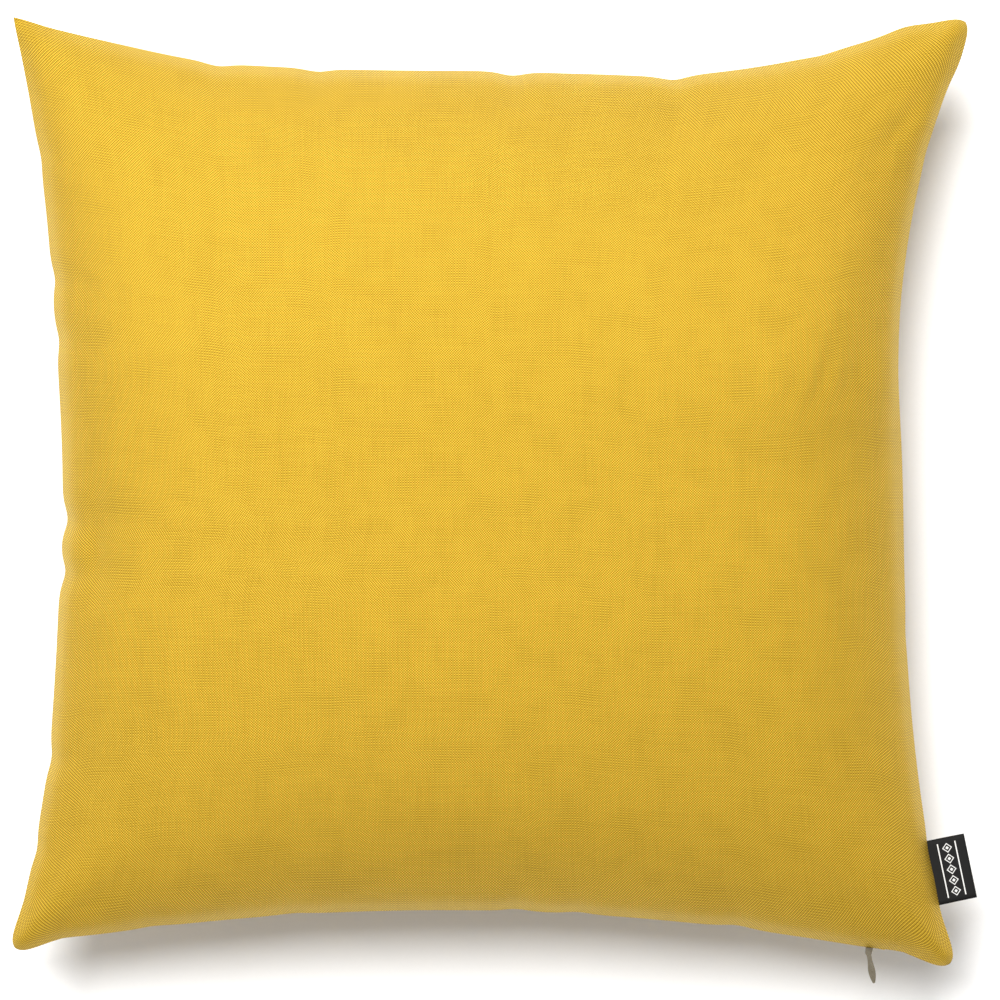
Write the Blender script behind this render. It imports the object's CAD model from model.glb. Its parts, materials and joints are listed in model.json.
import bmesh
import bpy
import json
import math
from mathutils import Matrix, Vector


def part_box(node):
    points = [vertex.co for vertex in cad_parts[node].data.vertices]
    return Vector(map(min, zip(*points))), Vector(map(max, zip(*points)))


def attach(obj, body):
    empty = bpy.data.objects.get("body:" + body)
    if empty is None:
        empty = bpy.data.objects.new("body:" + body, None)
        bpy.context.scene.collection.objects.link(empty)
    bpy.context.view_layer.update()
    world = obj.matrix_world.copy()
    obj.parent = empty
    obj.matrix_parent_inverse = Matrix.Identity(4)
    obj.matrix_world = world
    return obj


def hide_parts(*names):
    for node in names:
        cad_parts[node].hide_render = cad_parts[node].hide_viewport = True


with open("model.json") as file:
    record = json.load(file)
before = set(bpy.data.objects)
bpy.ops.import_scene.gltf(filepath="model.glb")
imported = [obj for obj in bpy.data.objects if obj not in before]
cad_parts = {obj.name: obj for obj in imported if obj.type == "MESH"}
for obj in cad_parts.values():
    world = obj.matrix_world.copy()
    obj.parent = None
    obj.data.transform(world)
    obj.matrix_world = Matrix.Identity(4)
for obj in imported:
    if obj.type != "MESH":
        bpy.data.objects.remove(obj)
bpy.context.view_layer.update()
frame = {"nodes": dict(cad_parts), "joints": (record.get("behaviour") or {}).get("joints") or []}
nodes = frame["nodes"]
joints = {joint["name"]: joint for joint in frame["joints"]}
scene = bpy.context.scene
mm = 0.001
upward = Vector((0, 0, 1))
print("frame loaded:", len(nodes), "nodes")


# Small helpers for making objects
def newObject(name, mesh, body="cushion"):
    obj = bpy.data.objects.new(name, mesh)
    scene.collection.objects.link(obj)
    if body:
        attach(obj, body)
    return obj


def meshFrom(bm, name, smooth=True):
    mesh = bpy.data.meshes.new(name)
    bm.to_mesh(mesh)
    bm.free()
    mesh.polygons.foreach_set("use_smooth", [smooth] * len(mesh.polygons))
    mesh.update()
    return mesh


# Camera, floor and light
studio = {
    "aim": (0.00545, -0.0045),
    "away": 2.397,  # above the seam
    "lens": 182,
    "floorSize": 6.0,
    "keyPower": 118,
    "keySize": 1.5,
    "keyPlace": (-0.38, 0.95, 2.45),
    "worldLight": 0.5,
}
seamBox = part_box("seam_thread_top")
seamHeight = (seamBox[0].z + seamBox[1].z) / 2

cameraData = bpy.data.cameras.new("camera")
cameraData.lens = studio["lens"]
cameraData.clip_end = 50
camera = bpy.data.objects.new("camera", cameraData)
camera.location = (*studio["aim"], seamHeight + studio["away"])
scene.collection.objects.link(camera)
scene.camera = camera
scene.view_settings.view_transform = "Standard"


def addLight(name, power, size, place, aim=(0, 0, 0.05)):
    data = bpy.data.lights.new(name, "AREA")
    data.energy = power
    data.shape = "DISK"
    data.size = size
    light = bpy.data.objects.new(name, data)
    light.location = place
    light.rotation_euler = (Vector(aim) - Vector(place)).to_track_quat("-Z", "Y").to_euler()
    scene.collection.objects.link(light)


addLight("keyLight", studio["keyPower"], studio["keySize"], studio["keyPlace"])

world = bpy.data.worlds.new("studio")
scene.world = world
world.use_nodes = True
world.node_tree.nodes["Background"].inputs["Color"].default_value = (1, 1, 1, 1)
world.node_tree.nodes["Background"].inputs["Strength"].default_value = studio["worldLight"]

bm = bmesh.new()
bmesh.ops.create_grid(bm, x_segments=1, y_segments=1, size=studio["floorSize"] / 2)
floor = newObject("floor", meshFrom(bm, "floor"), None)
print("studio ready")

# The cover: outline of the seam, seen from above
cover = {
    "flatCut": 0.457,  # seam to seam, as sewn
    "sheetCut": 0.48,  # the same with the allowance all round
    "steps": 96,
    "cloth": 0.9 * mm,
    "foldRows": 3,  # rows of the grid that the turned-in allowance covers
    "foldDepth": 2.1,  # in thicknesses of the cloth
    "foldClear": 0.3 * mm,
    "seamGap": 0.25 * mm,  # half the groove between the two panels
    "lipGap": 0.85 * mm,  # the same over the zip
    "lipBlend": 6 * mm,
    "cornerRound": {"topLeft": 0.5, "topRight": 8, "bottomRight": 11, "bottomLeft": 10},  # mm
    "roundReach": 1.28,  # how far along the side a corner's rounding reaches, and how deep it cuts
    "roundDepth": 0.62,
    # each corner is poked out as the cover is turned: x, y and reach along the sides, mm
    "cornerPoke": {"topLeft": (-0.5, 1.2, 20), "topRight": (4.4, 4.0, 30),
                   "bottomRight": (4.6, -4.6, 29), "bottomLeft": (-4.0, -4.2, 27)},
    # how far each side pulls in at every tenth of its length, mm
    "pullIn": {
        "right": [9.0, 16.5, 21.5, 24.0, 25.5, 27.0, 26.5, 21.0, 10.5],
        "top": [9.0, 19.5, 25.0, 24.5, 23.5, 23.5, 22.5, 19.5, 10.5],
        "left": [8.5, 15.0, 18.5, 21.5, 23.0, 21.5, 19.5, 16.0, 9.0],
    },
    # puckers: place along the side, depth in mm, half width in mm
    "puckers": {
        "bottom": [(0.05, 1.0, 12), (0.945, 1.4, 10), (0.15, 0.8, 7), (0.30, 0.8, 9),
                   (0.535, 1.4, 6), (0.60, 1.2, 6), (0.77, 1.6, 8)],
        "right": [(0.12, 0.8, 8), (0.35, 0.5, 9), (0.86, 0.8, 8), (0.955, -2.4, 11)],
        "top": [(0.06, -4.0, 13), (0.15, 1.0, 8), (0.305, 2.4, 7), (0.475, 2.4, 6),
                (0.68, 1.8, 6), (0.785, 2.0, 6)],
        "left": [(0.15, 1.0, 7), (0.28, 2.0, 6), (0.346, 1.8, 6), (0.538, 3.4, 6), (0.595, 3.2, 6),
                 (0.795, 1.8, 6), (0.893, 1.6, 6)],
    },
    "puckerSharpness": 1.5,  # 2 is round, 1 comes to a point
    # the seam wanders up and down: from, to, rise in mm
    "wander": {
        "bottom": [],
        "right": [(0.52, 0.985, 7.0)],
        "top": [(0.1, 0.5, -1.5), (0.5, 0.9, 1.2)],
        "left": [(0.1, 0.45, 1.0), (0.45, 0.95, -1.2)],
    },
    # where the seam rolls over to the front, and the back panel shows beyond it: from, to, mm
    "roll": {"right": (0.52, 0.985, 1.9)},
    "rollRows": 7,
    "rollPush": 2.1,
    "swellSteepness": 1.6,  # of a wander or a roll, at its ends
    "frontTop": 150 * mm,
    "backDeep": 74 * mm,  # how far the back would hang below the seam with nothing under it
    "restBlend": 4 * mm,
}
frontVerts = nodes["cover_front_panel"].data.vertices


def coverCorner(x, y):
    far = max(frontVerts, key=lambda v: v.co.x * x + v.co.y * y)
    return Vector((far.co.x, far.co.y, 0))


corners = {
    "bottomLeft": coverCorner(-1, -1),
    "bottomRight": coverCorner(1, -1),
    "topRight": coverCorner(1, 1),
    "topLeft": coverCorner(-1, 1),
}
sideEnds = {
    "bottom": ("bottomLeft", "bottomRight"),
    "right": ("bottomRight", "topRight"),
    "top": ("topRight", "topLeft"),
    "left": ("topLeft", "bottomLeft"),
}
zipCentre = Vector(joints["slider_travel"]["pos_m"])
zipCentre.z = 0
zipRadius = (corners["bottomLeft"] - zipCentre).length


def throughValues(values, share):
    # smooth line through evenly spaced values, 0 at both ends
    line = [-values[0], 0, *values, 0, -values[-1]]
    place = share * (len(values) + 1)
    i = min(int(place), len(values))
    f = place - i
    a, b, c, d = line[i:i + 4]
    return b + 0.5 * f * (c - a + f * (2 * a - 5 * b + 4 * c - d + f * (3 * (b - c) + d - a)))


def swell(low, high, share):
    # 0 outside the stretch, rising to 1 and staying there for most of it
    if not low < share < high:
        return 0.0
    rise = cover["swellSteepness"] * math.sin(math.pi * (share - low) / (high - low))
    return min(1.0, rise) ** 2


def seamPoint(side, share):
    startName, endName = sideEnds[side]
    start, end = corners[startName], corners[endName]
    chord = end - start
    inward = Vector((-chord.y, chord.x, 0)).normalized()
    if side == "bottom":
        arm = start - zipCentre
        turn = arm.angle(end - zipCentre)
        point = zipCentre + Matrix.Rotation(-turn * share, 3, "Z") @ arm
    else:
        point = start + chord * share + inward * mm * throughValues(cover["pullIn"][side], share)
    for place, depth, half in cover["puckers"][side]:
        away = abs((share - place) * chord.length / (half * mm))
        point += inward * mm * depth * math.exp(-away ** cover["puckerSharpness"])
    for name in (startName, endName):
        reach = cover["roundReach"] * mm * cover["cornerRound"][name]
        away = (point - corners[name]).length
        pokeX, pokeY, pokeReach = cover["cornerPoke"][name]
        if away < pokeReach * mm:
            fade = math.cos(math.pi / 2 * away / (pokeReach * mm)) ** 2
            point += Vector((pokeX, pokeY, 0)) * mm * fade
        if away < reach:
            cut = cover["roundDepth"] * mm * cover["cornerRound"][name] * (1 - away / reach) ** 2
            point -= corners[name].normalized() * cut
    for low, high, rise in cover["wander"][side]:
        point.z += mm * rise * swell(low, high, share)
    if side in cover["roll"]:
        low, high, depth = cover["roll"][side]
        point += inward * mm * depth * swell(low, high, share)
    return point


count = cover["steps"]
seamLine = {side: [seamPoint(side, i / count) for i in range(count + 1)] for side in sideEnds}


def planPoint(i, j):
    # inside the outline, i steps across and j steps up
    across, along = i / count, j / count
    low, high = seamLine["bottom"][i], seamLine["top"][count - i]
    west, east = seamLine["left"][count - j], seamLine["right"][j]
    ruled = low * (1 - along) + high * along + west * (1 - across) + east * across
    lowLine = seamLine["bottom"][0] * (1 - across) + seamLine["bottom"][count] * across
    highLine = seamLine["top"][count] * (1 - across) + seamLine["top"][0] * across
    return ruled - lowLine * (1 - along) - highLine * along


# The cover is sewn flat, filled, and left to settle as cloth
settling = {
    "frames": 26,
    "pressure": 120.0,
    "quality": 7,
    "mass": 0.3,
    "tension": 200,
    "compression": 120,
    "shear": 40,
    "bending": 6.0,
    "damping": 8,
    "startRise": 0.072,
    "startPower": 0.45,
    "sizeShare": 0.985,  # the cloth gives a little, so it is asked for less than its cut
}


def sewnCover():
    # both panels as one closed bag; returns the bmesh and its vertices by (side, i, j)
    bm = bmesh.new()
    half = cover["flatCut"] / 2
    cut = bm.verts.layers.float_vector.new("cut")
    bmesh.ops.create_grid(bm, x_segments=count, y_segments=count, size=half)
    for v in bm.verts:
        v[cut] = v.co
    copy = bmesh.ops.duplicate(bm, geom=bm.verts[:] + bm.edges[:] + bm.faces[:])
    backFaces = [g for g in copy["geom"] if isinstance(g, bmesh.types.BMFace)]
    backVerts = {g for g in copy["geom"] if isinstance(g, bmesh.types.BMVert)}
    bmesh.ops.reverse_faces(bm, faces=backFaces)
    for face in backFaces:
        face.material_index = 1
    byPlace = {}
    weld = {}
    for v in bm.verts:
        side = "back" if v in backVerts else "front"
        i = round((v[cut].x + half) / (2 * half) * count)
        j = round((v[cut].y + half) / (2 * half) * count)
        byPlace[side, i, j] = v
    for (side, i, j), v in byPlace.items():
        a, b = 2 * i / count - 1, 2 * j / count - 1
        rise = settling["startRise"] * ((1 - a * a) * (1 - b * b)) ** settling["startPower"]
        v.co = planPoint(i, j) + upward * (seamHeight + (rise if side == "front" else -rise))
        if side == "back" and (i in (0, count) or j in (0, count)):
            weld[v] = byPlace["front", i, j]
    bmesh.ops.weld_verts(bm, targetmap=weld)
    for (side, i, j), v in list(byPlace.items()):
        if not v.is_valid:
            byPlace[side, i, j] = byPlace["front", i, j]
    bm.verts.index_update()
    order = {key: v.index for key, v in byPlace.items()}
    cuts = [v[cut].copy() for v in bm.verts]
    return bm, order, cuts


def settledCover():
    # positions by (side, i, j) once the filled cover has come to rest
    bm, order, cuts = sewnCover()
    mesh = meshFrom(bm, "settling")
    obj = newObject("settling", mesh, None)
    obj.shape_key_add(name="Basis")
    flat = obj.shape_key_add(name="flatCut")
    for data, place in zip(flat.data, cuts):
        data.co = place * settling["sizeShare"]
    flat.value = 0
    pins = obj.vertex_groups.new(name="seam")
    rim = {index for (side, i, j), index in order.items() if i in (0, count) or j in (0, count)}
    pins.add(sorted(rim), 1.0, "REPLACE")
    cloth = obj.modifiers.new("settle", "CLOTH")
    s = cloth.settings
    s.quality = settling["quality"]
    s.mass = settling["mass"]
    s.tension_stiffness = settling["tension"]
    s.compression_stiffness = settling["compression"]
    s.shear_stiffness = settling["shear"]
    s.bending_stiffness = settling["bending"]
    s.tension_damping = s.compression_damping = s.shear_damping = settling["damping"]
    s.vertex_group_mass = "seam"
    s.rest_shape_key = flat
    s.use_pressure = True
    s.uniform_pressure_force = settling["pressure"]
    s.effector_weights.gravity = 0
    cloth.collision_settings.use_collision = False
    cloth.collision_settings.use_self_collision = False
    cloth.point_cache.frame_start = 1
    cloth.point_cache.frame_end = settling["frames"]
    for number in range(1, settling["frames"] + 1):
        scene.frame_set(number)
    depsgraph = bpy.context.evaluated_depsgraph_get()
    evaluated = obj.evaluated_get(depsgraph)
    points = [v.co.copy() for v in evaluated.data.vertices]
    scene.frame_set(1)
    bpy.data.objects.remove(obj)
    return {key: points[index] for key, index in order.items()}


settled = settledCover()
highest = max(p.z for p in settled.values())
lowest = min(p.z for p in settled.values())
frontStretch = (cover["frontTop"] - seamHeight) / (highest - seamHeight)
backStretch = cover["backDeep"] / (seamHeight - lowest)
print("cover settled:", round((highest - lowest) / mm, 1), "mm thick before it is set down")


def onFloor(z):
    # the back lies flat where it would hang below the floor, with a soft edge round the flat
    blend = cover["restBlend"]
    if z > blend:
        return z
    return (z + blend) ** 2 / (4 * blend) if z > -blend else 0.0


coverPoints = {}
for (side, i, j), p in settled.items():
    offSeam = p.z - seamHeight
    if side == "front":
        coverPoints[side, i, j] = Vector((p.x, p.y, seamHeight + offSeam * frontStretch))
    else:
        low, high, depth = cover["roll"]["right"]
        row = (count - i) / cover["rollRows"]
        push = cover["rollPush"] * depth * mm * swell(low, high, j / count)
        push *= math.sin(math.pi * min(row, 1))
        height = onFloor(seamHeight + offSeam * backStretch)
        coverPoints[side, i, j] = Vector((p.x + push, p.y, height))

# Where the zip and the label part the two panels
label = {
    "width": 31 * mm,
    "proud": 18 * mm,
    "tail": 6 * mm,
    "cloth": 0.25 * mm,
    "fold": 0.375 * mm,  # half the distance between its two layers
    "fromCorner": 43 * mm,
    "curl": 1.6 * mm,
    "twist": 0.6,  # less, and one end of the fold curls more than the other
    "clear": 0.1 * mm,  # between the label and the panels it lies between
    "blend": 8 * mm,
}


def zipAngle(point):
    arm = point - zipCentre
    return math.atan2(-arm.x, arm.y)


def zipPoint(angle, inset, height):
    reach = zipRadius + inset
    x = zipCentre.x - reach * math.sin(angle)
    y = zipCentre.y + reach * math.cos(angle)
    return Vector((x, y, seamHeight + height))


def angleRange(node):
    places = [zipAngle(v.co) for v in nodes[node].data.vertices]
    return min(places), max(places)


def smoothStep(low, high, value):
    f = min(max((value - low) / (high - low), 0), 1)
    return f * f * (3 - 2 * f)


tapeRight, tapeLeft = angleRange("zipper_tape_front")
lipTurn = cover["lipBlend"] / zipRadius


def parting(side, share):
    # half the gap between the panels at the seam
    gap = cover["seamGap"]
    if side == "bottom":
        angle = zipAngle(seamPoint(side, share))
        inZip = smoothStep(tapeRight - lipTurn, tapeRight, angle)
        inZip *= 1 - smoothStep(tapeLeft, tapeLeft + lipTurn, angle)
        gap += (cover["lipGap"] - cover["seamGap"]) * inZip
    if side == "right":
        rightLength = (corners["topRight"] - corners["bottomRight"]).length
        away = abs(share * rightLength - label["fromCorner"])
        room = label["fold"] + label["cloth"] / 2 + label["clear"]
        half = label["width"] / 2
        gap += (room - cover["seamGap"]) * (1 - smoothStep(half, half + label["blend"], away))
    return gap


partings = {}
for k in range(count + 1):
    partings[k, 0] = parting("bottom", k / count)
    partings[count, k] = parting("right", k / count)
    partings[k, count] = parting("top", 1 - k / count)
    partings[0, k] = parting("left", 1 - k / count)


def addModifiers(obj, subdivide=0, thickness=0, offset=-1.0):
    if subdivide:
        smooth = obj.modifiers.new("smooth", "SUBSURF")
        smooth.levels = smooth.render_levels = subdivide
    if thickness:
        solid = obj.modifiers.new("thickness", "SOLIDIFY")
        solid.thickness = thickness
        solid.offset = offset


def coverPanel(side):
    sign = 1 if side == "front" else -1
    half = cover["flatCut"] / 2
    bm = bmesh.new()
    uvLayer = bm.loops.layers.uv.new("clothMap")
    crease = bm.edges.layers.float.new("crease_edge")
    bmesh.ops.create_grid(bm, x_segments=count, y_segments=count, size=half)
    for face in bm.faces:
        for loop in face.loops:
            loop[uvLayer].uv = loop.vert.co.xy
    place = {v: tuple(round((c / half + 1) / 2 * count) for c in v.co.xy) for v in bm.verts}
    for v, (i, j) in place.items():
        v.co = coverPoints[side, i, j]
        if (i, j) in partings:
            v.co.z += sign * partings[i, j]
    if side == "back":
        bmesh.ops.reverse_faces(bm, faces=bm.faces[:])
    bm.normal_update()
    # the allowance is turned in and lies doubled against the inside of the panel
    rows = cover["foldRows"]
    band = []
    for face in bm.faces:
        insets = [(min(i, count - i), min(j, count - j)) for i, j in (place[v] for v in face.verts)]
        nearEdge = all(min(pair) <= rows for pair in insets)
        nearEdge = nearEdge and any(min(pair) < rows for pair in insets)
        inCorner = all(max(pair) <= rows + 2 for pair in insets)  # trimmed off there
        if nearEdge and not inCorner:
            band.append(face)
    rim = [e for e in bm.edges if e.is_boundary]
    normals = {v: v.normal.copy() for v in place}
    folded = bmesh.ops.duplicate(bm, geom=band)
    pairs = {v: folded["vert_map"][v] for v in place if v in folded["vert_map"]}
    weld = {}
    for v, copy in pairs.items():
        i, j = place[v]
        if (i, j) in partings:
            weld[copy] = v
        else:
            copy.co = v.co - normals[v] * cover["foldDepth"] * cover["cloth"]
            closest = seamHeight + sign * cover["foldClear"]
            copy.co.z = max(copy.co.z, closest) if side == "front" else min(copy.co.z, closest)
    foldedFaces = [g for g in folded["geom"] if isinstance(g, bmesh.types.BMFace)]
    bmesh.ops.reverse_faces(bm, faces=foldedFaces)
    bmesh.ops.weld_verts(bm, targetmap=weld)
    for edge in rim:
        edge[crease] = 1.0
        edge.smooth = False
    panel = newObject("cover_" + side + "_cloth", meshFrom(bm, "cover_" + side + "_cloth"))
    addModifiers(panel, subdivide=1, thickness=cover["cloth"])
    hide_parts("cover_" + side + "_panel")
    return panel


frontPanel = coverPanel("front")
backPanel = coverPanel("back")
print("cover panels sewn")

# The pad inside: two spunbonded squares round a fibre filling
pad = {
    "edgeShare": 0.914,
    "heightShare": 0.982,
    "cloth": 0.4 * mm,
    "fillEdgeShare": 0.905,
    "fillHeightShare": 0.97,
    "everyRow": 2,
    "flatCut": 0.42,
    "stitch": 3.0 * mm,
    "threadThick": 0.6 * mm,
    "stitchShare": 0.85,
    "cornerRoom": 16 * mm,
    "stitchInset": 1.5 * mm,
    "rimGap": 0.1 * mm,
}


def shrunkPoint(key, edgeShare, heightShare):
    p = coverPoints[key]
    return Vector((p.x * edgeShare, p.y * edgeShare, seamHeight + (p.z - seamHeight) * heightShare))


def padSide(side, edgeShare, heightShare, rimGap):
    bm = bmesh.new()
    uvLayer = bm.loops.layers.uv.new("clothMap")
    every = pad["everyRow"]
    steps = count // every
    bmesh.ops.create_grid(bm, x_segments=steps, y_segments=steps, size=0.5)
    for face in bm.faces:
        for loop in face.loops:
            loop[uvLayer].uv = loop.vert.co.xy * pad["flatCut"]
    for v in bm.verts:
        i, j = round((v.co.x + 0.5) * steps) * every, round((v.co.y + 0.5) * steps) * every
        v.co = shrunkPoint((side, i, j), edgeShare, heightShare)
        if (i, j) in partings:
            v.co.z += rimGap if side == "front" else -rimGap
    if side == "back":
        bmesh.ops.reverse_faces(bm, faces=bm.faces[:])
    return bm


padShells = []
for side in ("front", "back"):
    name = "pad_" + side + "_cloth"
    bm = padSide(side, pad["edgeShare"], pad["heightShare"], pad["rimGap"])
    shell = newObject(name, meshFrom(bm, name))
    addModifiers(shell, subdivide=1, thickness=pad["cloth"])
    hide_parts("pad_" + side + "_shell")
    padShells.append(shell)

bm = padSide("front", pad["fillEdgeShare"], pad["fillHeightShare"], 0)
backHalf = meshFrom(padSide("back", pad["fillEdgeShare"], pad["fillHeightShare"], 0), "backHalf")
bm.from_mesh(backHalf)
bpy.data.meshes.remove(backHalf)
bmesh.ops.remove_doubles(bm, verts=bm.verts[:], dist=0.02 * mm)
filling = newObject("pad_fibre_filling", meshFrom(bm, "pad_fibre_filling"))
addModifiers(filling, subdivide=1)
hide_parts("pad_filling")
print("pad made")


# Stitches: one short arched length of thread, repeated along a line
sewing = {
    "pitch": 3.0 * mm,
    "stitchShare": 0.86,
    "thick": 0.4 * mm,
    "inset": 2.15 * mm,
    "cornerRoom": 14 * mm,
    "tackRoom": 3.4 * mm,
    "taper": 0.35,
    "arch": 0.3,
    "lineSteps": 160,
}


def stitchMesh(length, thick):
    bm = bmesh.new()
    radius = thick / 2
    bmesh.ops.create_cone(bm, cap_ends=True, segments=6, radius1=radius, radius2=radius,
                          depth=length)
    long = [e for e in bm.edges if abs(e.verts[0].co.z - e.verts[1].co.z) > length / 2]
    bmesh.ops.subdivide_edges(bm, edges=long, cuts=3)
    for v in bm.verts:
        share = 2 * v.co.z / length
        slim = 1 - sewing["taper"] * share ** 4
        v.co.x *= slim
        v.co.y = v.co.y * slim - sewing["arch"] * thick * share ** 2
    bmesh.ops.rotate(bm, verts=bm.verts[:], matrix=Matrix.Rotation(math.pi / 2, 3, "Y"))
    return meshFrom(bm, "stitch")


def stitchRow(name, line, pitch, share, thick, node):
    # line is a list of points; the stitches lie along it, with their arch turned to +Z
    lengths = [0]
    for a, b in zip(line, line[1:]):
        lengths.append(lengths[-1] + (b - a).length)
    number = max(1, round(lengths[-1] / pitch))
    one = stitchMesh(lengths[-1] / number * share, thick)
    bm = bmesh.new()
    k = 0
    for n in range(number):
        middle = (n + 0.5) * lengths[-1] / number
        while lengths[k + 1] < middle:
            k += 1
        along = (line[k + 1] - line[k]).normalized()
        centre = line[k] + along * (middle - lengths[k])
        across = upward.cross(along).normalized()
        first = len(bm.verts)
        bm.from_mesh(one)
        bm.verts.ensure_lookup_table()
        turn = Matrix((along, across, along.cross(across))).transposed().to_4x4()
        bmesh.ops.transform(bm, matrix=Matrix.Translation(centre) @ turn, verts=bm.verts[first:])
    bpy.data.meshes.remove(one)
    row = newObject(name, meshFrom(bm, name))
    if node:
        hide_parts(node)
    return row


def sewnRow(name, line, node):
    return stitchRow(name, line, sewing["pitch"], sewing["stitchShare"], sewing["thick"], node)


def seamRun(side, low, high, inset, share=1.0):
    # points along a side between two distances from its start
    startName, endName = sideEnds[side]
    chord = corners[endName] - corners[startName]
    inward = Vector((-chord.y, chord.x, 0)).normalized()
    steps = sewing["lineSteps"]
    line = []
    for k in range(steps + 1):
        place = (low + (high - low) * k / steps) / chord.length
        p = seamPoint(side, place) + inward * inset
        line.append(Vector((p.x * share, p.y * share, seamHeight + p.z * frontStretch)))
    return line


stitches = []
for side in ("top", "left", "right"):
    chord = corners[sideEnds[side][1]] - corners[sideEnds[side][0]]
    line = seamRun(side, sewing["cornerRoom"], chord.length - sewing["cornerRoom"], sewing["inset"])
    stitches.append(sewnRow("seam_stitches_" + side, line, "seam_thread_" + side))
bottomChord = (corners["bottomRight"] - corners["bottomLeft"]).length
zipStart = (corners["bottomLeft"] - zipPoint(tapeLeft, 0, -seamHeight)).length
zipEnd = bottomChord - (corners["bottomRight"] - zipPoint(tapeRight, 0, -seamHeight)).length
for end, low, high in (("left", sewing["cornerRoom"], zipStart - sewing["tackRoom"]),
                       ("right", zipEnd + sewing["tackRoom"], bottomChord - sewing["cornerRoom"])):
    line = seamRun("bottom", low, high, sewing["inset"])
    stitches.append(sewnRow("seam_stitches_bottom_" + end, line, "seam_thread_bottom_" + end))

padLines = bmesh.new()
for side in sideEnds:
    chord = corners[sideEnds[side][1]] - corners[sideEnds[side][0]]
    room = pad["cornerRoom"]
    line = seamRun(side, room, chord.length - room, pad["stitchInset"], pad["edgeShare"])
    row = stitchRow("padRow", line, pad["stitch"], pad["stitchShare"], pad["threadThick"], None)
    padLines.from_mesh(row.data)
    bpy.data.objects.remove(row)
padStitches = newObject("pad_stitches", meshFrom(padLines, "pad_stitches"))
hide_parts("pad_seam_thread")
print("seams stitched")

# The zip: coils wound as helices, and the rows of thread that hold the tapes
zipFastener = {
    "wire": 0.45 * mm,
    "width": 1.6 * mm,
    "height": 1.55 * mm,
    "pitch": 1.25 * mm,
    "inset": 7.8 * mm,
    "centreHeight": 1.525 * mm,
    "stepsPerTurn": 8,
    "wireSides": 5,
    "threadInset": 4.85 * mm,
    "threadHeight": 0.95 * mm,
}


def zipCoil(name, sign, phase, node):
    right, left = angleRange(node)
    radius = zipRadius + zipFastener["inset"]
    length = (left - right) * radius
    turns = round(length / zipFastener["pitch"])
    steps = turns * zipFastener["stepsPerTurn"]
    wire = zipFastener["wire"]
    bm = bmesh.new()
    ring = bmesh.ops.create_circle(bm, segments=zipFastener["wireSides"], radius=wire / 2)
    bmesh.ops.rotate(bm, verts=ring["verts"], matrix=Matrix.Rotation(math.pi / 2, 3, "X"))
    coilRadius = (zipFastener["height"] - wire) / 2
    bmesh.ops.translate(bm, verts=ring["verts"], vec=(0, 0, coilRadius))
    bmesh.ops.rotate(bm, verts=ring["verts"], matrix=Matrix.Rotation(math.pi / 2, 3, "Z"))
    bmesh.ops.rotate(bm, verts=ring["verts"], matrix=Matrix.Rotation(phase, 3, "X"))
    # wound about its own line, with the line's length shared out between the steps
    bmesh.ops.spin(bm, geom=bm.verts[:] + bm.edges[:], cent=(0, 0, 0), axis=(1, 0, 0),
                   dvec=(length / steps, 0, 0), angle=2 * math.pi * turns, steps=steps,
                   use_merge=False)
    ends = [e for e in bm.edges if e.is_boundary]
    bmesh.ops.holes_fill(bm, edges=ends, sides=0)
    bmesh.ops.recalc_face_normals(bm, faces=bm.faces[:])
    wide = (zipFastener["width"] - wire) / (zipFastener["height"] - wire)
    for v in bm.verts:
        v.co = zipPoint(right + v.co.x / radius, zipFastener["inset"] + v.co.y * wide,
                        sign * zipFastener["centreHeight"] + v.co.z)
    coil = newObject(name, meshFrom(bm, name))
    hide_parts(node)
    return coil


coils = [
    zipCoil("zip_coil_front", 1, 0.0, "zipper_coil_front"),
    zipCoil("zip_coil_back", -1, math.pi, "zipper_coil_back"),
]
for side, sign in (("front", 1), ("back", -1)):
    node = "zipper_thread_" + side
    right, left = angleRange(node)
    steps = sewing["lineSteps"]
    height = sign * zipFastener["threadHeight"]
    line = [zipPoint(right + (left - right) * k / steps, zipFastener["threadInset"], height)
            for k in range(steps + 1)]
    stitches.append(sewnRow("zip_stitches_" + side, line, node))
print("zip wound:", len(coils[0].data.polygons), "faces a coil")


# Labels: one strip folded over at its outer end, both tails caught in the seam
def seamFrame(side, distance):
    startName, endName = sideEnds[side]
    chord = (corners[endName] - corners[startName])
    here = seamPoint(side, distance / chord.length)
    ahead = seamPoint(side, (distance + 1 * mm) / chord.length)
    behind = seamPoint(side, (distance - 1 * mm) / chord.length)
    along = (ahead - behind).normalized()
    return here + upward * seamHeight, along, upward.cross(along)


def foldedLabel(name, node, place, size):
    origin, along, inward = place
    straight = size["proud"] + size["tail"] - size["fold"]
    bend = math.pi * size["fold"]
    length = 2 * straight + bend
    bm = bmesh.new()
    uvLayer = bm.loops.layers.uv.new("clothMap")
    bmesh.ops.create_grid(bm, x_segments=14, y_segments=56, size=0.5)
    for face in bm.faces:
        for loop in face.loops:
            loop[uvLayer].uv = (loop.vert.co.x * size["width"], (loop.vert.co.y + 0.5) * length)
    for v in bm.verts:
        across, run = v.co.x * size["width"], (v.co.y + 0.5) * length
        if run < straight:
            depth, height = size["tail"] - run, size["fold"]
        elif run < straight + bend:
            turn = (run - straight) / size["fold"]
            depth = size["tail"] - straight - size["fold"] * math.sin(turn)
            height = size["fold"] * math.cos(turn)
        else:
            depth, height = size["tail"] - straight + (run - straight - bend), -size["fold"]
        out = max(-depth, 0) / size["proud"]
        height += size["curl"] * out ** 2 * (size["twist"] + across / size["width"])
        v.co = origin + along * across + inward * depth + upward * height
    obj = newObject(name, meshFrom(bm, name))
    addModifiers(obj, thickness=size["cloth"], offset=0)
    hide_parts(node)
    return obj


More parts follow.
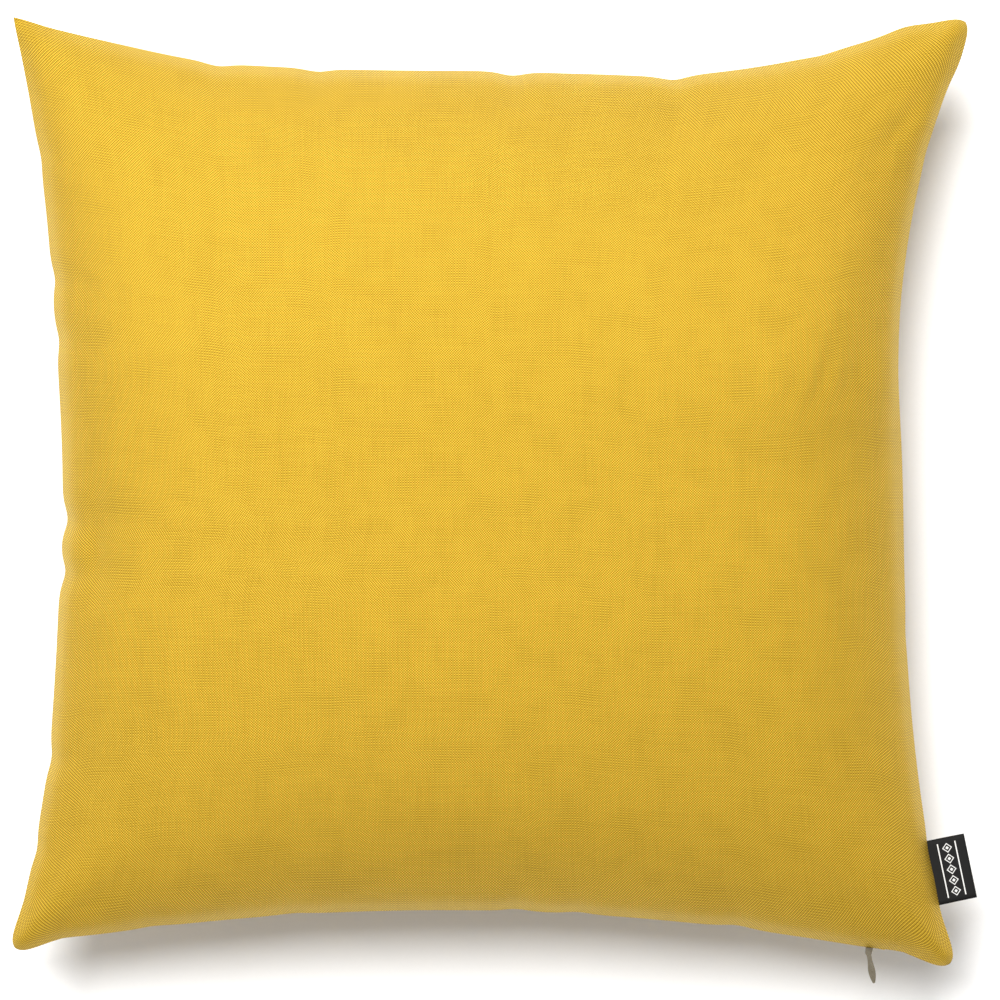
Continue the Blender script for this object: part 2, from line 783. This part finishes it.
tabPlace = seamFrame("right", label["fromCorner"])
tabLabel = foldedLabel("tab_label", "woven_label", tabPlace, label)
careLabel = {
    "width": 45 * mm,
    "proud": 12 * mm,
    "tail": 0.4 * mm,
    "cloth": 0.25 * mm,
    "fold": 0.375 * mm,
    "fromCorner": 150 * mm,
    "curl": 0.0,
    "twist": 0.6,
    "inset": 1.95 * mm,
}
leftLength = (corners["bottomLeft"] - corners["topLeft"]).length
origin, along, inward = seamFrame("left", leftLength - careLabel["fromCorner"])
turnedIn = (origin + inward * careLabel["inset"], along, -inward)
careStrip = foldedLabel("care_strip", "care_label", turnedIn, careLabel)
print("labels folded")


# Shader groups shared by the cloths, the threads and the metal
def connect(tree, socket, value):
    if isinstance(value, bpy.types.NodeSocket):
        tree.links.new(value, socket)
    else:
        socket.default_value = value


def calc(tree, operation, *values, clamp=False):
    node = tree.nodes.new("ShaderNodeMath")
    node.operation = operation
    node.use_clamp = clamp
    for socket, value in zip(node.inputs, values):
        connect(tree, socket, value)
    return node.outputs[0]


def noise(tree, place, scale, detail=2.0, roughness=0.5):
    node = tree.nodes.new("ShaderNodeTexNoise")
    node.inputs["Scale"].default_value = scale
    node.inputs["Detail"].default_value = detail
    node.inputs["Roughness"].default_value = roughness
    connect(tree, node.inputs["Vector"], place)
    return node.outputs["Fac"]


def scaled(tree, place, x, y, z=1.0):
    node = tree.nodes.new("ShaderNodeMapping")
    node.inputs["Scale"].default_value = (x, y, z)
    connect(tree, node.inputs["Vector"], place)
    return node.outputs["Vector"]


def mixed(tree, share, first, second, kind="RGBA"):
    node = tree.nodes.new("ShaderNodeMix")
    node.data_type = kind
    slots = {"RGBA": ("A_Color", "B_Color", 2), "FLOAT": ("A_Float", "B_Float", 0)}[kind]
    byId = {s.identifier: s for s in node.inputs}
    connect(tree, byId["Factor_Float"], share)
    connect(tree, byId[slots[0]], first)
    connect(tree, byId[slots[1]], second)
    return node.outputs[slots[2]]


def group(name, inputs, outputs):
    tree = bpy.data.node_groups.new(name, "ShaderNodeTree")
    for socketName, kind, value in inputs:
        socket = tree.interface.new_socket(socketName, in_out="INPUT", socket_type=kind)
        if value is not None:
            socket.default_value = value
    for socketName, kind in outputs:
        tree.interface.new_socket(socketName, in_out="OUTPUT", socket_type=kind)
    return tree, tree.nodes.new("NodeGroupInput").outputs, tree.nodes.new("NodeGroupOutput").inputs


weaving = {
    "wander": 1.4,  # in pitches
    "wanderScale": 45.0,
    "crossing": 4.0,  # how sharply one thread gives way to the other
    "alongPower": 0.4,
    "acrossPower": 0.8,
    "slubLong": 28.0,
    "slubThin": 1000.0,
    "ribScale": 60.0,
    "ribContrast": 1.6,
    "ribOffset": -0.72,
}


def weaveGroup():
    # plain weave: threads pitch apart, over and under by turns
    tree, given, result = group(
        "plainWeave",
        [("Place", "NodeSocketVector", None), ("Pitch", "NodeSocketFloat", 0.001),
         ("Slub", "NodeSocketFloat", 0.5)],
        [("Height", "NodeSocketFloat"), ("Gap", "NodeSocketFloat"), ("Shade", "NodeSocketFloat"),
         ("Under", "NodeSocketFloat")],
    )
    apart = tree.nodes.new("ShaderNodeSeparateXYZ")
    connect(tree, apart.inputs[0], given["Place"])
    # the threads wander a little, so no two stretches are quite alike
    drift = noise(tree, given["Place"], weaving["wanderScale"], 1.0)
    drift = calc(tree, "SUBTRACT", drift, 0.5)
    drift = calc(tree, "MULTIPLY", drift, given["Pitch"])
    waves = []
    for axis in (0, 1):
        moved = calc(tree, "MULTIPLY_ADD", drift, weaving["wander"], apart.outputs[axis])
        turns = calc(tree, "DIVIDE", moved, given["Pitch"])
        waves.append(calc(tree, "SINE", calc(tree, "MULTIPLY", turns, math.pi)))
    warp, weft = (calc(tree, "ABSOLUTE", wave) for wave in waves)
    warpUp = calc(tree, "MULTIPLY", waves[0], waves[1])
    warpUp = calc(tree, "MULTIPLY_ADD", warpUp, weaving["crossing"], 0.5, clamp=True)
    over = []
    for across, along in ((weft, warp), (warp, weft)):
        across = calc(tree, "POWER", across, weaving["acrossPower"])
        along = calc(tree, "POWER", along, weaving["alongPower"])
        over.append(calc(tree, "MULTIPLY", across, along))
    crown = mixed(tree, warpUp, *over, "FLOAT")
    # slub: single threads run thick or thin for a few centimetres
    thin, long = weaving["slubThin"], weaving["slubLong"]
    alongWarp = noise(tree, scaled(tree, given["Place"], thin, long), 1.0, 1.0)
    alongWeft = noise(tree, scaled(tree, given["Place"], long, thin), 1.0, 1.0)
    streak = calc(tree, "SUBTRACT", calc(tree, "ADD", alongWarp, alongWeft), 1.0)
    streak = calc(tree, "MULTIPLY", streak, given["Slub"])
    connect(tree, result["Height"], calc(tree, "ADD", crown, streak))
    connect(tree, result["Gap"], calc(tree, "SUBTRACT", 1.0, crown, clamp=True))
    connect(tree, result["Shade"], streak)
    # the warp stands lighter than the weft, and in patches the weft beats up into ribs
    rib = calc(tree, "MULTIPLY_ADD", waves[1], 0.5, 0.5)
    patch = noise(tree, given["Place"], weaving["ribScale"], 2.0)
    patch = calc(tree, "MULTIPLY_ADD", patch, weaving["ribContrast"], weaving["ribOffset"],
                 clamp=True)
    under = calc(tree, "SUBTRACT", 1.0, warpUp)
    connect(tree, result["Under"], mixed(tree, patch, under, rib, "FLOAT"))
    return tree


spinning = {
    "broadScale": 0.12,
    "broadShare": 0.5,
    "middle": 0.75,
}


def fibreGroup():
    # fine twisted fibres with a soft mottle
    tree, given, result = group(
        "fibres",
        [("Place", "NodeSocketVector", None), ("Size", "NodeSocketFloat", 0.0005)],
        [("Height", "NodeSocketFloat"), ("Shade", "NodeSocketFloat")],
    )
    shrink = tree.nodes.new("ShaderNodeVectorMath")
    shrink.operation = "SCALE"
    connect(tree, shrink.inputs[0], given["Place"])
    connect(tree, shrink.inputs["Scale"], calc(tree, "DIVIDE", 1.0, given["Size"]))
    fine = noise(tree, shrink.outputs[0], 1.0, 3.0, 0.6)
    broad = noise(tree, shrink.outputs[0], spinning["broadScale"], 2.0)
    height = calc(tree, "MULTIPLY_ADD", broad, spinning["broadShare"], fine)
    connect(tree, result["Height"], height)
    connect(tree, result["Shade"], calc(tree, "SUBTRACT", height, spinning["middle"]))
    return tree


weave = weaveGroup()
fibres = fibreGroup()


def newMaterial(name):
    material = bpy.data.materials.new(name)
    material.use_nodes = True
    tree = material.node_tree
    return material, tree, tree.nodes["Principled BSDF"]


def use(tree, groupTree, place, **values):
    node = tree.nodes.new("ShaderNodeGroup")
    node.node_tree = groupTree
    connect(tree, node.inputs["Place"], place)
    for name, value in values.items():
        connect(tree, node.inputs[name], value)
    return node.outputs


def coordinates(tree, kind):
    if kind == "Object":
        return tree.nodes.new("ShaderNodeTexCoord").outputs["Object"]
    node = tree.nodes.new("ShaderNodeUVMap")
    node.uv_map = kind
    return node.outputs["UV"]


def bump(tree, surface, height, distance):
    node = tree.nodes.new("ShaderNodeBump")
    node.inputs["Distance"].default_value = distance
    node.inputs["Strength"].default_value = 1.0
    connect(tree, node.inputs["Height"], height)
    connect(tree, surface.inputs["Normal"], node.outputs[0])


def shade(tree, light, dark, share):
    return mixed(tree, share, (*light, 1), (*dark, 1))


def finishSurface(tree, surface, look, colour, height, rough):
    # what every material ends with: its colour, its roughness and its relief
    roughness = calc(tree, "MULTIPLY_ADD", rough, look["roughSpread"], look["roughness"])
    connect(tree, surface.inputs["Base Color"], colour)
    connect(tree, surface.inputs["Roughness"], roughness)
    bump(tree, surface, height, look["relief"])


def wovenCloth(name, look):
    material, tree, surface = newMaterial(name)
    place = coordinates(tree, look["map"])
    cloth = use(tree, weave, place, Pitch=look["pitch"], Slub=look["slub"])
    mottle = calc(tree, "SUBTRACT", noise(tree, place, look["mottleScale"], 3.0, 0.6), 0.5)
    depth = calc(tree, "POWER", cloth["Gap"], look["gapPower"])
    depth = calc(tree, "MULTIPLY", depth, look["gapDepth"])
    depth = calc(tree, "MULTIPLY_ADD", cloth["Under"], look["underDepth"], depth)
    depth = calc(tree, "MULTIPLY_ADD", cloth["Shade"], -look["streakShare"], depth)
    depth = calc(tree, "MULTIPLY_ADD", mottle, look["mottle"], depth, clamp=True)
    colour = shade(tree, look["light"], look["dark"], depth)
    finishSurface(tree, surface, look, colour, cloth["Height"], cloth["Gap"])
    surface.inputs["Sheen Weight"].default_value = look["sheen"]
    surface.inputs["Sheen Roughness"].default_value = look["sheenRoughness"]
    surface.inputs["Sheen Tint"].default_value = (*look["sheenTint"], 1)
    surface.inputs["Specular IOR Level"].default_value = look["specular"]
    surface.inputs["Specular Tint"].default_value = (*look["specularTint"], 1)
    surface.inputs["Metallic"].default_value = look["lustre"]
    return material


mustard = {
    "map": "clothMap",
    "pitch": 0.68 * mm,
    "slub": 0.45,
    "light": (0.74, 0.48, 0.045),
    "dark": (0.23, 0.122, 0.003),
    "gapDepth": 0.20,
    "gapPower": 1.3,
    "underDepth": 1.0,
    "streakShare": 0.35,
    "mottleScale": 30.0,
    "mottle": 0.12,
    "roughness": 0.48,
    "roughSpread": 0.12,
    "relief": 0.14 * mm,
    "lustre": 0.4,  # share of the light that the smooth yarn throws back in its own colour
    "sheen": 0.06,
    "sheenRoughness": 0.3,
    "sheenTint": (1.0, 0.9, 0.4),
    "specular": 0.7,
    "specularTint": (1.0, 0.9, 0.25),
}
mustardCloth = wovenCloth("mustardCloth", mustard)
mustardTape = wovenCloth("mustardTape", {
    **mustard, "map": "Object", "pitch": 0.6 * mm, "relief": 0.1 * mm, "light": (0.60, 0.38, 0.04),
})


def spunFibre(name, look):
    material, tree, surface = newMaterial(name)
    spun = use(tree, fibres, coordinates(tree, look["map"]), Size=look["size"])
    depth = calc(tree, "MULTIPLY_ADD", spun["Shade"], look["contrast"], look["middle"], clamp=True)
    colour = shade(tree, look["light"], look["dark"], depth)
    finishSurface(tree, surface, look, colour, spun["Height"], spun["Height"])
    surface.inputs["Sheen Weight"].default_value = look["sheen"]
    return material


thread = {
    "map": "Object",
    "size": 0.25 * mm,
    "light": (0.80, 0.55, 0.10),
    "dark": (0.50, 0.30, 0.03),
    "contrast": 1.2,
    "middle": 0.35,
    "roughness": 0.55,
    "roughSpread": 0.15,
    "relief": 0.06 * mm,
    "sheen": 0.2,
}


mustardThread = spunFibre("mustardThread", thread)
nylon = spunFibre("dyedNylon", {
    **thread, "size": 0.6 * mm, "light": (0.74, 0.50, 0.09), "dark": (0.60, 0.38, 0.05),
    "contrast": 0.8, "roughness": 0.3, "relief": 0.01 * mm, "sheen": 0.0,
})
spunbond = spunFibre("spunbond", {
    **thread, "map": "clothMap", "size": 1.2 * mm, "light": (0.86, 0.86, 0.84),
    "dark": (0.66, 0.66, 0.64), "contrast": 1.5, "roughness": 0.8, "relief": 0.12 * mm,
    "sheen": 0.1,
})
fibreFill = spunFibre("fibreFill", {
    **thread, "size": 2.5 * mm, "light": (0.88, 0.88, 0.87), "dark": (0.62, 0.62, 0.61),
    "contrast": 1.8, "roughness": 0.85, "relief": 0.6 * mm, "sheen": 0.3,
})


def satinTape(name, look):
    # dense satin ribs, with a woven row of lozenges between two fine lines where it has a motif
    material, tree, surface = newMaterial(name)
    place = coordinates(tree, "clothMap")
    cloth = use(tree, weave, place, Pitch=look["pitch"], Slub=look["slub"])
    depth = calc(tree, "MULTIPLY", cloth["Gap"], look["gapDepth"], clamp=True)
    colour = shade(tree, look["light"], look["dark"], depth)
    if look["motif"]:
        apart = tree.nodes.new("ShaderNodeSeparateXYZ")
        connect(tree, apart.inputs[0], place)
        motif = look["motif"]
        across, run = apart.outputs[0], calc(tree, "SUBTRACT", apart.outputs[1], motif["middle"])
        # lozenges stand in a row across the label
        cell = calc(tree, "WRAP", across, motif["lozenge"] / 2, -motif["lozenge"] / 2)
        run = calc(tree, "ABSOLUTE", run)
        reach = calc(tree, "ADD", calc(tree, "ABSOLUTE", cell), run)
        outline = calc(tree, "SUBTRACT", reach, motif["lozenge"] * motif["outline"])
        lozenge = calc(tree, "LESS_THAN", calc(tree, "ABSOLUTE", outline), motif["line"])
        heart = calc(tree, "LESS_THAN", reach, motif["lozenge"] * motif["heart"])
        rule = calc(tree, "ABSOLUTE", calc(tree, "SUBTRACT", run, motif["ruleAway"]))
        rule = calc(tree, "LESS_THAN", rule, motif["line"])
        within = calc(tree, "LESS_THAN", calc(tree, "ABSOLUTE", across), motif["reach"])
        drawn = calc(tree, "MAXIMUM", calc(tree, "MAXIMUM", lozenge, heart), rule)
        drawn = calc(tree, "MULTIPLY", drawn, within)
        faded = calc(tree, "MULTIPLY", cloth["Gap"], motif["gapFade"])
        drawn = calc(tree, "MULTIPLY", drawn, calc(tree, "SUBTRACT", 1.0, faded))
        colour = mixed(tree, drawn, colour, (*motif["colour"], 1))
    finishSurface(tree, surface, look, colour, cloth["Height"], cloth["Gap"])
    surface.inputs["Sheen Weight"].default_value = look["sheen"]
    surface.inputs["Specular IOR Level"].default_value = look["specular"]
    return material


satin = {
    "pitch": 0.35 * mm,
    "slub": 0.3,
    "light": (0.010, 0.010, 0.010),
    "dark": (0.003, 0.003, 0.003),
    "gapDepth": 0.6,
    "roughness": 0.6,
    "roughSpread": 0.2,
    "relief": 0.05 * mm,
    "sheen": 0.0,
    "specular": 0.15,
    "motif": {
        "middle": 15 * mm,
        "lozenge": 5.2 * mm,
        "outline": 0.40,  # in lozenge pitches, as is the heart
        "heart": 0.16,
        "line": 0.28 * mm,
        "ruleAway": 4.2 * mm,
        "reach": 13 * mm,
        "gapFade": 0.45,
        "colour": (0.78, 0.78, 0.76),
    },
}
blackSatin = satinTape("blackSatin", satin)
whiteSatin = satinTape("whiteSatin", {
    **satin, "light": (0.84, 0.84, 0.82), "dark": (0.60, 0.60, 0.58), "roughness": 0.4,
    "sheen": 0.1, "specular": 0.5, "motif": None,
})


def tumbledMetal(name, look):
    material, tree, surface = newMaterial(name)
    place = coordinates(tree, "Object")
    spun = use(tree, fibres, place, Size=look["size"])
    worn = calc(tree, "MULTIPLY_ADD", spun["Shade"], look["contrast"], look["middle"], clamp=True)
    colour = shade(tree, look["light"], look["dark"], worn)
    finishSurface(tree, surface, look, colour, spun["Height"], spun["Height"])
    surface.inputs["Metallic"].default_value = 1.0
    return material


pewter = tumbledMetal("pewter", {
    "size": 0.5 * mm,
    "light": (0.20, 0.175, 0.13),
    "dark": (0.07, 0.06, 0.04),
    "contrast": 1.6,
    "middle": 0.4,
    "roughness": 0.28,
    "roughSpread": 0.2,
    "relief": 0.02 * mm,
})


def paint(material, slotName, *objects):
    for obj in objects:
        if obj.material_slots:
            for place in obj.material_slots:
                place.material = material
        else:
            obj.data.materials.append(material)


paint(mustardCloth, "mustard_cloth", frontPanel, backPanel)
paint(mustardThread, "mustard_thread", *stitches, nodes["zipper_bar_tacks"])
paint(mustardTape, "zip_tape", nodes["zipper_tape_front"], nodes["zipper_tape_back"])
paint(nylon, "zip_coil", *coils)
zipMetal = ("zipper_top_stops", "zipper_bottom_stop", "slider_body", "slider_pull")
paint(pewter, "pewter", *(nodes[name] for name in zipMetal))
paint(blackSatin, "black_satin", tabLabel)
paint(whiteSatin, "white_satin", careStrip)
paint(spunbond, "white_nonwoven", *padShells, padStitches)
paint(fibreFill, "polyester_fibre", filling)

# The floor: matt pale card
card = {
    "size": 2.0 * mm,
    "light": (0.93, 0.93, 0.93),
    "dark": (0.90, 0.90, 0.90),
    "middle": 0.5,
    "roughness": 0.9,
}
material, tree, surface = newMaterial("paleFloor")
grain = use(tree, fibres, coordinates(tree, "Object"), Size=card["size"])
grain = calc(tree, "MULTIPLY_ADD", grain["Shade"], 1.0, card["middle"], clamp=True)
connect(tree, surface.inputs["Base Color"], shade(tree, card["light"], card["dark"], grain))
surface.inputs["Roughness"].default_value = card["roughness"]
floor.data.materials.append(material)
print("materials set")
